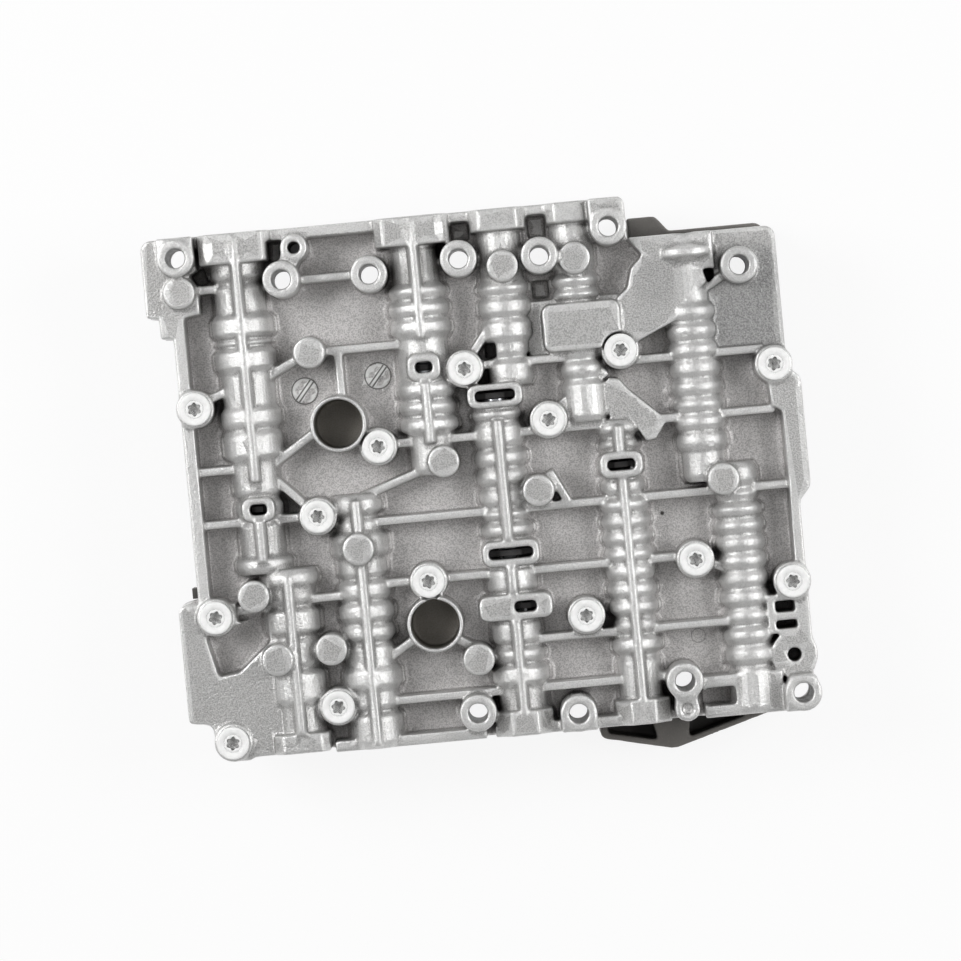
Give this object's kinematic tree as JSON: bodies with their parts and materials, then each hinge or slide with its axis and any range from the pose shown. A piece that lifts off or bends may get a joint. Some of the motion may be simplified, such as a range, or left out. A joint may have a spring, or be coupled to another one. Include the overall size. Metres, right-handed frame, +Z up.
{
  "type": "transmission valve body",
  "caption": "Die-cast hydraulic valve body of an automatic transmission: ribbed valve bores with spools and springs, bolted castings, solenoids and a moulded carrier behind",
  "frame": {"origin": "bottom centre of the bounding box, on the plane the rear carrier rests on", "axes": "+X to the right of the picture, +Y to its upper edge, +Z up out of the ribbed side"},
  "size_m": [0.233, 0.2026, 0.0572],
  "materials": {
    "cast_aluminium": "die-cast, matte",
    "plate_steel": "rolled",
    "zinc_steel": "zinc plated",
    "spool_aluminium": "anodised, ground",
    "spring_steel": "drawn wire",
    "plug_aluminium": "turned",
    "bright_steel": "bright",
    "solenoid_can": "drawn can",
    "seal_rubber": "smooth",
    "dark_plastic": "moulded, glass filled"
  },
  "bodies": {
    "housing": {"upper_valve_housing": "cast_aluminium", "separator_plate": "plate_steel", "lower_channel_housing": "cast_aluminium", "housing_bolts": "zinc_steel", "return_spring_a": "spring_steel", "return_spring_b": "spring_steel", "return_spring_c": "spring_steel", "return_spring_d_outer": "spring_steel", "return_spring_d_inner": "spring_steel", "return_spring_e": "spring_steel", "return_spring_f_upper": "spring_steel", "return_spring_f_lower": "spring_steel", "return_spring_g": "spring_steel", "return_spring_h": "spring_steel", "return_spring_i": "spring_steel", "return_spring_j": "spring_steel", "bore_plug_a": "plug_aluminium", "bore_plug_b": "plug_aluminium", "bore_plug_c": "plug_aluminium", "bore_plug_d": "plug_aluminium", "bore_plug_e": "plug_aluminium", "bore_plug_f": "plug_aluminium", "bore_plug_g": "plug_aluminium", "bore_plug_h": "plug_aluminium", "bore_plug_i": "plug_aluminium", "bore_plug_j": "plug_aluminium", "retainer_clip_d": "bright_steel", "retainer_clip_f_upper": "bright_steel", "retainer_clip_h": "bright_steel", "retainer_clip_a": "bright_steel", "retainer_clip_f_middle": "bright_steel", "retainer_clip_f_lower": "bright_steel", "solenoid_1": "solenoid_can", "solenoid_2": "solenoid_can", "solenoid_3": "solenoid_can", "solenoid_4": "solenoid_can", "solenoid_5": "solenoid_can", "solenoid_6": "solenoid_can", "solenoid_7": "solenoid_can", "solenoid_8": "solenoid_can", "plug_seals": "seal_rubber", "solenoid_straps": "bright_steel", "strap_screws": "zinc_steel", "control_carrier": "dark_plastic", "carrier_screws": "zinc_steel", "check_balls": "bright_steel", "locating_dowels": "bright_steel", "edge_clip": "dark_plastic"},
    "spool_a": {"valve_spool_a": "spool_aluminium"},
    "spool_b": {"valve_spool_b": "spool_aluminium"},
    "spool_c": {"valve_spool_c": "spool_aluminium"},
    "spool_d_outer": {"valve_spool_d_outer": "spool_aluminium"},
    "spool_d_inner": {"valve_spool_d_inner": "spool_aluminium"},
    "spool_e": {"valve_spool_e": "spool_aluminium"},
    "spool_f_upper": {"valve_spool_f_upper": "spool_aluminium"},
    "spool_f_lower": {"valve_spool_f_lower": "spool_aluminium"},
    "spool_g": {"valve_spool_g": "spool_aluminium"},
    "spool_h": {"valve_spool_h": "spool_aluminium"},
    "spool_i": {"valve_spool_i": "spool_aluminium"},
    "spool_j": {"valve_spool_j": "spool_aluminium"}
  },
  "joints": [
    {"name": "spool_a_slide", "type": "slide", "parent": "housing", "child": "spool_a", "axis": [0, -1, 0], "range_m": [0, 0.005], "stiffness_N_per_m": 600, "deforming": ["return_spring_a"]},
    {"name": "spool_b_slide", "type": "slide", "parent": "housing", "child": "spool_b", "axis": [0, 1, 0], "range_m": [0, 0.005], "stiffness_N_per_m": 600, "deforming": ["return_spring_b"]},
    {"name": "spool_c_slide", "type": "slide", "parent": "housing", "child": "spool_c", "axis": [0, 1, 0], "range_m": [0, 0.005], "stiffness_N_per_m": 600, "deforming": ["return_spring_c"]},
    {"name": "spool_d_outer_slide", "type": "slide", "parent": "housing", "child": "spool_d_outer", "axis": [0, -1, 0], "range_m": [0, 0.005], "stiffness_N_per_m": 600, "deforming": ["return_spring_d_outer"]},
    {"name": "spool_d_inner_slide", "type": "slide", "parent": "housing", "child": "spool_d_inner", "axis": [0, -1, 0], "range_m": [0, 0.005], "stiffness_N_per_m": 600, "deforming": ["return_spring_d_inner"]},
    {"name": "spool_e_slide", "type": "slide", "parent": "housing", "child": "spool_e", "axis": [0, -1, 0], "range_m": [0, 0.005], "stiffness_N_per_m": 600, "deforming": ["return_spring_e"]},
    {"name": "spool_f_upper_slide", "type": "slide", "parent": "housing", "child": "spool_f_upper", "axis": [0, -1, 0], "range_m": [0, 0.005], "stiffness_N_per_m": 600, "deforming": ["return_spring_f_upper"]},
    {"name": "spool_f_lower_slide", "type": "slide", "parent": "housing", "child": "spool_f_lower", "axis": [0, 1, 0], "range_m": [0, 0.005], "stiffness_N_per_m": 600, "deforming": ["return_spring_f_lower"]},
    {"name": "spool_g_slide", "type": "slide", "parent": "housing", "child": "spool_g", "axis": [0, -1, 0], "range_m": [0, 0.005], "stiffness_N_per_m": 600, "deforming": ["return_spring_g"]},
    {"name": "spool_h_slide", "type": "slide", "parent": "housing", "child": "spool_h", "axis": [0, 1, 0], "range_m": [0, 0.005], "stiffness_N_per_m": 600, "deforming": ["return_spring_h"]},
    {"name": "spool_i_slide", "type": "slide", "parent": "housing", "child": "spool_i", "axis": [0, -1, 0], "range_m": [0, 0.005], "stiffness_N_per_m": 600, "deforming": ["return_spring_i"]},
    {"name": "spool_j_slide", "type": "slide", "parent": "housing", "child": "spool_j", "axis": [0, 1, 0], "range_m": [0, 0.005], "stiffness_N_per_m": 600, "deforming": ["return_spring_j"]}
  ]
}
